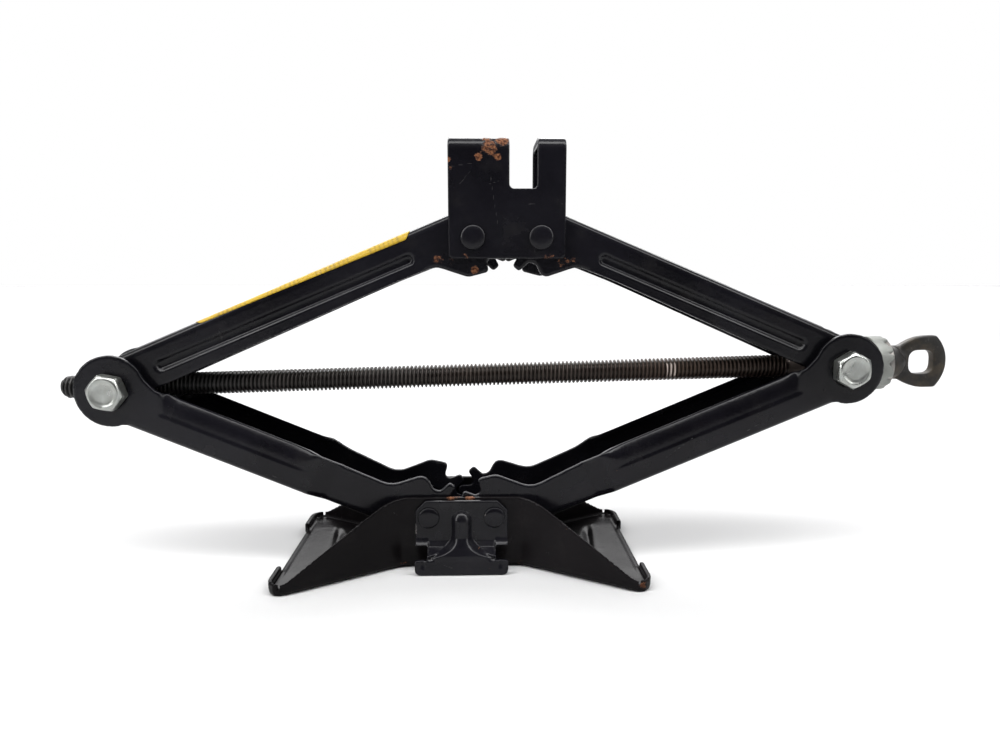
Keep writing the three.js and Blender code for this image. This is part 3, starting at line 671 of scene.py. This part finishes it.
def add_base():
    """The pan and its two brackets, in millimetres from the row frame's origin."""
    place = Matrix.Scale(MM, 4)
    wear = [
        (84, -51, 3, 6, 0.72), (-84, -51, 3, 5, 0.6), (60, -36, 1.5, 5, 0.55), (-29, -18.8, 2, 5, 0.62),
        (29, -18.8, 2, 5, 0.62), (-4, -18.8, 35, 7, 0.72), (4, -18.8, 35.3, 5, 0.78), (-26, -19, 33, 4, 0.45),
        (88, 20, 1, 4, 0.5), (-87, -14, 1.5, 4, 0.5), (50, -32, 24, 2, 0.6), (70, -44.5, 11, 2, 0.6),
        (-87, 34, 2, 5, 0.5), (84, 51, 3, 6, 0.6),
    ]
    scratches = [
        ((-52, -33.4, 12), (-49, -31.6, 17), 0.5), ((52, -33.4, 20), (53, -34.1, 16), 0.4),
        ((56, -36, 3.5), (66, -42.3, 3), 0.6), ((60, -38.5, 10), (61, -39.2, 6), 0.4),
        ((-33, -21.3, 29), (-31, -20.1, 27), 0.4),
    ]
    pressed("base_pan", place, "base", PAN_PAINT, 0.75, pan_shape, wear, scratches, 5)
    front = [
        (9, -25, 11, 5, 0.66), (-14, -29.5, 4, 4, 0.5), (14, -29.5, 3, 4, 0.5), (-2, -29.5, 4.5, 3, 0.45),
    ]
    rear = [(-9, 25, 11, 5, 0.5), (10, 29.5, 3, 5, 0.5)]
    marks = [((-9, -29.5, 5.5), (-4, -29.5, 3.5), 0.5)]
    pressed("front_bracket", place, "base", PAINT, 0.45, bracket_shape, front, marks, 6)
    pressed("rear_bracket", place, "base", PAINT, 0.45, bracket_shape, rear, (), 6)


# ---------------------------------------------------------------- rivets and bolts


def add_rivet(node, body):
    """A shank with a low, slightly uneven button head at each side."""
    low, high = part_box(node)
    centre = (low + high) / 2
    radius = (high.x - low.x) / 2 / MM
    half = (high.y - low.y) / 2 / MM
    shank = radius * 0.76
    head = fillet([
        (half - 1.6, shank, 0), (half - 1.6, radius, 0.3), (half - 0.95, radius * 0.985, 0.7),
        (half - 0.42, radius * 0.82, 0.8), (half - 0.12, radius * 0.55, 0.9), (half, 0.0, 0),
    ])
    profile = [(-x, r) for x, r in reversed(head)] + head

    def uneven(x, r, angles):
        return r * (1 - 0.015 * (1 + np.sin(2 * angles + radius)))

    points, faces = surface(turned_rows(profile, 56, uneven), closed_columns=True)
    mesh = build(node, points, faces)
    across = local_frame(centre, (0, 1, 0), (0, 0, 1))
    values = read_points(mesh)
    write_values(mesh, "wear", 0.30 * ramp(np.hypot(values[:, 1], values[:, 2]), radius * 0.85, radius))
    mesh.transform(across)
    piece(node + "_rivet", mesh, PAINT, body, "paint", node)


def hex_limit(angles, flats, turn):
    """Distance from a hexagon's centre to its side, in each direction."""
    sector = math.pi / 3
    return flats / 2 / np.cos((angles - turn) % sector - sector / 2)


def add_bolt(node, body, turn):
    """A forged hexagon head with a raised, rounded rim and a dished face, and its shank."""
    low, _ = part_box(node)
    top = BOLT_SEAT + BOLT_HEAD
    chamfer = top - 2.2
    corner = 9.9
    shank = [
        (BOLT_REACH, 0.0), (BOLT_REACH, BOLT_RADIUS - 0.3), (BOLT_REACH + 0.4, BOLT_RADIUS),
        (BOLT_SEAT - 0.1, BOLT_RADIUS), (BOLT_SEAT, BOLT_RADIUS + 0.4),
    ]
    sides = [(BOLT_SEAT, corner - 0.3), (BOLT_SEAT + 0.3, corner)]
    sides += [(y, corner) for y in np.linspace(BOLT_SEAT + 1, chamfer, 5)]
    crown = [(chamfer + 0.2 * i, 9.05 - 0.02 * i * i) for i in range(1, 9)]
    rim = [(top - 0.35, 7.55), (top - 0.15, 7.2), (top - 0.03, 6.85), (top, 6.5), (top - 0.1, 6.15)]
    dish = [(top - 0.4, 5.75), (top - 0.66, 5.2), (top - 0.74, 4.0), (top - 0.68, 2.4), (top - 0.7, 0.0)]

    def clipped(x, radius, angles):
        """Cuts the head's round profile to a hexagon with slightly soft corners."""
        if x < BOLT_SEAT or radius < 6.0:
            return np.full(len(angles), radius)
        sharpness = 18.0
        limit = hex_limit(angles, BOLT_FLATS, turn)
        return (limit ** -sharpness + radius ** -sharpness) ** (-1 / sharpness)

    profile = shank + sides + crown + rim + dish
    points, faces = surface(turned_rows(profile, 144, clipped), closed_columns=True)
    points[:, 0] += 0.06 * np.sin(points[:, 1] * 1.3 + turn) * (points[:, 0] > top - 1)
    mesh = build(node, points, faces)
    side = LEFT if low.x < 0 else RIGHT
    outwards = (0, -1, 0) if low.y < 0 else (0, 1, 0)
    mesh.transform(local_frame(side, outwards, (0, 0, 1)))
    piece(node + "_forged", mesh, ZINC, body, "zinc", node)


def add_fasteners():
    """Four rivets and four bolts; each side's bolts stand as far round as the photo shows."""
    for node, body in (("base_pin_left", "base"), ("base_pin_right", "base"),
                       ("saddle_pin_left", "saddle"), ("saddle_pin_right", "saddle")):
        add_rivet(node, body)
    for side, body, degrees in (("left", "nut_trunnion", -11), ("right", "bearing_trunnion", 32)):
        for face in ("front", "rear"):
            add_bolt(f"{side}_bolt_{face}", body, math.radians(degrees))


# ---------------------------------------------------------------- screw, trunnions and bearing


def screw_place():
    """The screw's own frame: x along it towards the eye, from the bearing's centre."""
    return local_frame(RIGHT, SCREW_AXIS, (0, 0, 1))


def thread_height(phase):
    """A rounded trapezoid: 1 on the crest, 0 at the root."""
    distance = np.abs((phase % 1.0) - 0.5) * 2
    return ramp(distance, 0.30, 0.72)


def add_screw():
    """The rolled thread, a helix that fades out at both ends, and the plain shank behind it."""
    steps_per_turn = 10
    segments = 48
    fade = 2.5
    angles = np.linspace(0, 2 * math.pi, segments, endpoint=False)
    rows, crests = [], []
    for x in np.arange(SCREW_TIP, THREAD_END, THREAD_PITCH / steps_per_turn):
        height = thread_height(x / THREAD_PITCH + angles / (2 * math.pi))
        full = ramp(x, SCREW_TIP, SCREW_TIP + fade) * (1 - ramp(x, THREAD_END - fade, THREAD_END))
        nose = 1.9 * (1 - ramp(x, SCREW_TIP - 0.4, SCREW_TIP + 3.2)) ** 1.5
        radius = SCREW_RADIUS - THREAD_DEPTH * (1 - height) * (0.25 + 0.75 * full) - nose
        radius = np.minimum(radius, SHANK_RADIUS + 0.6 * ramp(THREAD_END - x, 0.0, fade))
        rows.append(np.stack([np.full(segments, x), radius * np.cos(angles), radius * np.sin(angles)], 1))
        crests.append(height)
    shank = [(THREAD_END, SHANK_RADIUS - 0.05), (THREAD_END + 1, SHANK_RADIUS), (COLLAR_START, SHANK_RADIUS)]
    rows += turned_rows(shank, segments)
    crests += [np.full(segments, 0.8)] * len(shank)
    points, faces = surface(rows, closed_columns=True)
    faces = [tuple(reversed(range(segments)))] + faces
    faces.append(tuple(len(points) - segments + k for k in range(segments)))
    mesh = bpy.data.meshes.new("lead_screw_thread")
    mesh.from_pydata([tuple(p) for p in points], [], faces)
    x = points[:, 0]
    write_values(mesh, "crest", np.concatenate(crests))
    cloudy = np.array([noise.noise((v * 0.02, 3.1, 0.7)) for v in x])
    write_values(mesh, "brown", ramp(x, -330, -60) * 0.85 + 0.3 * cloudy)
    mark = (np.abs(x + 83.0) < 2.2) & (points[:, 1] < 3) & (np.abs(points[:, 2]) < 3.4)
    plain = ramp(x, THREAD_END - 1.0, THREAD_END + 1.5) * 0.35
    write_values(mesh, "mark", np.maximum(mark * 0.8 * np.concatenate(crests), plain))
    mesh.transform(screw_place())
    piece("lead_screw_thread", mesh, THREAD, "screw", "phosphate")


def eye_half_height(x):
    """Half height of the paddle along the screw."""
    stations = [(29.0, 10.0), (31.0, 8.7), (32.5, 8.3), (34.5, 8.8), (37.0, 10.3), (40.0, 11.7),
                (43.0, 12.7), (46.0, 13.1), (EYE_WIDEST, EYE_HALF_HEIGHT)]
    return float(np.interp(x, *zip(*stations)))


def add_eye():
    """The forged collar that flattens into a paddle with a rounded hole."""
    hole_half_width, hole_half_height = 6.35, 6.05
    half_thick = 2.45
    rise = EYE_END - EYE_WIDEST
    end_radius = (EYE_HALF_HEIGHT ** 2 + rise ** 2) / (2 * rise)
    angles = np.linspace(0, 2 * math.pi, 144, endpoint=False)

    def rim(angle):
        """Distance from the hole's centre to the paddle's outline."""
        low, high = 0.0, 40.0
        for _ in range(30):
            middle = (low + high) / 2
            x, z = EYE_CENTRE + middle * math.cos(angle), middle * math.sin(angle)
            inside = x > 30.5 and abs(z) < eye_half_height(x)
            inside = inside and math.hypot(x - (EYE_END - end_radius), z) < end_radius
            low, high = (middle, high) if inside else (low, middle)
        return low

    def hole(angle):
        """Distance from the hole's centre to its edge, between a circle and a square."""
        power = 3.2
        across = abs(math.cos(angle) / hole_half_width) ** power
        up = abs(math.sin(angle) / hole_half_height) ** power
        return (across + up) ** (-1 / power)

    outer = np.array([rim(a) for a in angles])
    outer = np.convolve(np.concatenate([outer[-1:], outer, outer[:1]]), [0.2, 0.6, 0.2], "valid")
    inner = np.array([hole(a) for a in angles])
    near_side = [
        (0.0, -0.80), (0.02, -0.94), (0.06, -1.0), (0.45, -1.0), (0.88, -1.0), (0.97, -0.86), (1.0, -0.5),
    ]
    section = near_side + [(share, -side) for share, side in reversed(near_side)]
    rows = []
    for share, side in section:
        reach = inner + (outer - inner) * share
        x, z = EYE_CENTRE + reach * np.cos(angles), reach * np.sin(angles)
        thick = half_thick + 3.2 * (1 - ramp(x, 30, 38)) * (1 - ramp(np.abs(z), 2, 9))
        rows.append(np.stack([x, side * thick, z], 1))
    points, faces = surface(rows, closed_rows=True, closed_columns=True)
    points[:, 1] += 0.12 * np.sin(points[:, 0] * 0.55) * np.cos(points[:, 2] * 0.4)
    mesh = build("eye", points, faces)
    mesh.transform(screw_place())
    piece("drive_eye", mesh, FORGED, "screw", "phosphate", "lead_screw")
    profile = fillet([
        (24.6, 0.0, 0), (24.6, 9.4, 0.3), (28.2, 9.4, 1.6), (30.4, 8.6, 1.6), (33.5, 7.0, 1.2),
        (37.5, 2.2, 1.0), (38.0, 0.0, 0),
    ])
    points, faces = surface(turned_rows(profile, 64), closed_columns=True)
    mesh = build("collar", points, faces)
    mesh.transform(screw_place())
    piece("eye_collar", mesh, FORGED, "screw", "phosphate")


def add_cup():
    """The pressed cup over the thrust bearing, its edge crimped over in uneven scallops."""
    outside = [
        (17.6, 0.0), (18.2, 0.0), (20.0, 0.05), (22.4, 0.0), (24.4, 0.1), (25.4, 0.35), (26.0, 0.8),
        (26.2, 1.4), (25.9, 1.9),
    ]
    inside = [(25.2, 1.15), (24.4, 0.65), (23.6, 0.1), (22.0, 0.0), (17.6, 0.0)]
    profile = [(17.6, CUP_LINING)] + [(x, CUP_RADIUS - dip) for x, dip in outside]
    profile += [(x, CUP_LINING - dip) for x, dip in inside]
    angles = np.linspace(0, 2 * math.pi, 180, endpoint=False)
    ragged = np.array([noise.noise((math.cos(a) * 3, math.sin(a) * 3, 0.4)) for a in angles])
    notch = np.abs(np.sin(6.5 * angles + 1.4 * ragged)) ** 7
    rows = []
    for x, radius in profile:
        rim = float(ramp(np.array(x), 22.4, 25.5))
        along = x - rim * (2.1 * notch + 0.5 * np.abs(ragged))
        around = radius - 0.15 * np.abs(ragged) - 0.5 * rim * notch
        rows.append(np.stack([along, around * np.cos(angles), around * np.sin(angles)], 1))
    points, faces = surface(rows, closed_columns=True)
    mesh = build("bearing_cup", points, faces)
    mesh.transform(screw_place())
    piece("bearing_cup", mesh, CUP_ZINC, "screw", "zinc", "bearing_cover")


def add_trunnions():
    """The turned cross blocks, with their chamfers softened."""
    for node in ("nut_trunnion", "bearing_trunnion"):
        centre = LEFT if node == "nut_trunnion" else RIGHT
        place = local_frame(centre, SCREW_AXIS, (0, 0, 1))
        mesh = dense_copy(node, place, 0.6)
        write_points(mesh, relaxed(mesh, read_points(mesh), 5))
        mesh.transform(place)
        piece(node + "_block", mesh, TURNED, node, "steel", node)


def dress_small_parts():
    """Spacers, races and balls keep their CAD shapes, with softened edges."""
    for name, node in nodes.items():
        if not name.endswith(("spacer_front", "spacer_rear", "race")) and "ball" not in name:
            continue
        node.data.materials.clear()
        node.data.materials.append(TURNED)
        if "ball" in name:
            node.modifiers.new("round", "SUBSURF").render_levels = 1
            smooth_shaded(node.data)
            continue
        bevel = node.modifiers.new("edge", "BEVEL")
        bevel.width = 0.25 * MM
        bevel.segments = 2
        bevel.limit_method = "ANGLE"


def add_label():
    """A thin strip on the left upper arm that laps a little over both folds, with plain panels and rules."""
    place, length = arm_places()["upper_left_arm"]
    start, end = LABEL_START, length - LABEL_END_GAP
    flat = UPPER_HALF - UPPER_FOLD
    columns, across = 200, 48
    us = np.linspace(start, end, columns)
    rows = []
    for lift, inset in ((0.05, 0.0), (0.26, 0.12)):
        layer = []
        for share in np.linspace(-1, 1, across):
            lap = UPPER_FOLD * np.interp(us, (start, end), (1.5, 0.95) if share < 0 else (0.4, 0.5))
            ends = np.minimum(us - start, end - us)
            lap -= 3.0 * (1 - ramp(ends, 0.0, 5.0)) ** 3
            s = share * (flat + lap - inset)
            bend = np.maximum(np.abs(s) - flat, 0) / UPPER_FOLD
            y = np.sign(s) * (np.minimum(np.abs(s), flat) + (UPPER_FOLD + lift) * np.sin(bend))
            z = UPPER_WEB + UPPER_FOLD - (UPPER_FOLD + lift) * np.cos(bend)
            layer.append(np.stack([us, y, z], 1))
        rows += layer if lift > 0.1 else layer[::-1]
    points, faces = surface(rows, closed_rows=True)
    count = len(rows)
    faces.append(tuple(i * columns for i in range(count)))
    faces.append(tuple(i * columns + columns - 1 for i in reversed(range(count))))
    mesh = bpy.data.meshes.new("label")
    mesh.from_pydata([tuple(p) for p in points], [], faces)
    u, v = points[:, 0] - start, np.abs(points[:, 1])
    in_pitch = u % LABEL_PANEL_PITCH
    frame_line = (v > LABEL_FRAME_HALF - 1.0) & (v < LABEL_FRAME_HALF - 0.6)
    in_panel = (in_pitch > 3) & (in_pitch < 24) & (v < LABEL_FRAME_HALF - 2.2)
    in_band = (u > end - start - LABEL_BAND) & (v < LABEL_FRAME_HALF - 1.6)
    ticks = (in_pitch > 5) & (in_pitch < 22) & (u % 2.3 > 1.5) & (v > 11.6)
    write_values(mesh, "panel", in_panel.astype(float))
    write_values(mesh, "band", in_band.astype(float))
    write_values(mesh, "rule", np.maximum(frame_line, 0.35 * ticks))
    mesh.transform(place)
    piece("label_strip", mesh, VINYL, "upper_left_arm", "vinyl", "label")


add_arms()
add_saddle()
add_base()
add_fasteners()
add_screw()
add_eye()
add_cup()
add_trunnions()
dress_small_parts()
add_label()


# ---------------------------------------------------------------- studio


def add_floor():
    """A pale sheet just under the pan; it reaches further behind the camera than behind the object."""
    n = Nodes("pale_floor")
    colour = n.mix(n.noise(3.0, 3.0), (0.51, 0.51, 0.51, 1), (0.53, 0.53, 0.53, 1))
    material = n.finish(Base_Color=colour, Roughness=0.9)
    half, far = 6.0, 4.6
    corners = [(-half, -half, 0), (half, -half, 0), (half, far, 0), (-half, far, 0)]
    mesh = bpy.data.meshes.new("floor")
    mesh.from_pydata(corners, [], [(0, 1, 2, 3)])
    mesh.materials.append(material)
    floor = bpy.data.objects.new("floor", mesh)
    bpy.context.scene.collection.objects.link(floor)
    floor.location.z = -0.0003


def add_softbox(name, location, target, size, power):
    """A rectangular area light that faces its target; size in metres, power in watts."""
    light = bpy.data.lights.new(name, "AREA")
    light.shape = "RECTANGLE"
    light.size, light.size_y = size
    light.energy = power
    lamp = bpy.data.objects.new(name, light)
    bpy.context.scene.collection.objects.link(lamp)
    lamp.location = location
    lamp.rotation_euler = (Vector(target) - Vector(location)).to_track_quat("-Z", "Y").to_euler()


def add_world():
    """Lights the object from above and behind, dims towards the front, and shows plain white itself."""
    world = bpy.data.worlds.new("studio")
    bpy.context.scene.world = world
    world.use_nodes = True
    tree = world.node_tree
    link = tree.links.new
    coordinates = tree.nodes.new("ShaderNodeTexCoord")
    split = tree.nodes.new("ShaderNodeSeparateXYZ")
    link(coordinates.outputs["Generated"], split.inputs["Vector"])
    brightness = tree.nodes.new("ShaderNodeMath")
    brightness.operation = "MULTIPLY_ADD"
    link(split.outputs["Y"], brightness.inputs[0])
    brightness.inputs[1].default_value = 0.35
    link(split.outputs["Z"], brightness.inputs[2])
    gradient = tree.nodes.new("ShaderNodeValToRGB")
    link(brightness.outputs["Value"], gradient.inputs["Fac"])
    front, back = gradient.color_ramp.elements
    front.position, front.color = 0.0, (0.04, 0.04, 0.045, 1)
    back.position, back.color = 1.0, (1.0, 1.0, 1.03, 1)
    lighting = tree.nodes["Background"]
    link(gradient.outputs["Color"], lighting.inputs["Color"])
    lighting.inputs["Strength"].default_value = 0.55
    seen = tree.nodes.new("ShaderNodeBackground")
    seen.inputs["Color"].default_value = (1, 1, 1, 1)
    seen.inputs["Strength"].default_value = 1.0
    path = tree.nodes.new("ShaderNodeLightPath")
    mixer = tree.nodes.new("ShaderNodeMixShader")
    link(path.outputs["Is Camera Ray"], mixer.inputs["Fac"])
    link(lighting.outputs["Background"], mixer.inputs[1])
    link(seen.outputs["Background"], mixer.inputs[2])
    link(mixer.outputs["Shader"], tree.nodes["World Output"].inputs["Surface"])


def keep_blacks():
    """The standard view transform, so that black paint stays as black as in the photo."""
    bpy.context.scene.view_settings.view_transform = "Standard"


def add_camera():
    """The photographer's place, fitted to the photo: in front, below the saddle's top, looking down a bit."""
    place = Vector((8.84, -367.74, 148.48)) * MM
    yaw, pitch = 0.0285, 0.1496
    data = bpy.data.cameras.new("camera")
    data.sensor_width = 36.0
    data.lens = 26.64
    data.clip_start = 0.01
    camera = bpy.data.objects.new("camera", data)
    bpy.context.scene.collection.objects.link(camera)
    camera.location = place
    camera.rotation_euler = (math.pi / 2 - pitch, 0.0, -yaw)
    bpy.context.scene.camera = camera


add_floor()
add_world()
keep_blacks()
add_softbox("overhead", (0.0, -0.32, 1.10), (0, 0, 0.08), (2.3, 0.36), 22.0)
add_softbox("left_strip", (-0.95, -0.55, 0.60), (-0.05, 0, 0.1), (0.25, 0.9), 6.5)
add_softbox("right_strip", (1.0, -0.50, 0.65), (0.05, 0, 0.1), (0.22, 0.9), 4.8)
add_softbox("back_strip", (0.0, 0.95, 0.80), (0, 0, 0.1), (1.5, 0.30), 5.0)
add_softbox("far_floor", (0.0, 3.4, 2.2), (0, 3.4, 0), (9.0, 4.2), 380.0)
add_camera()
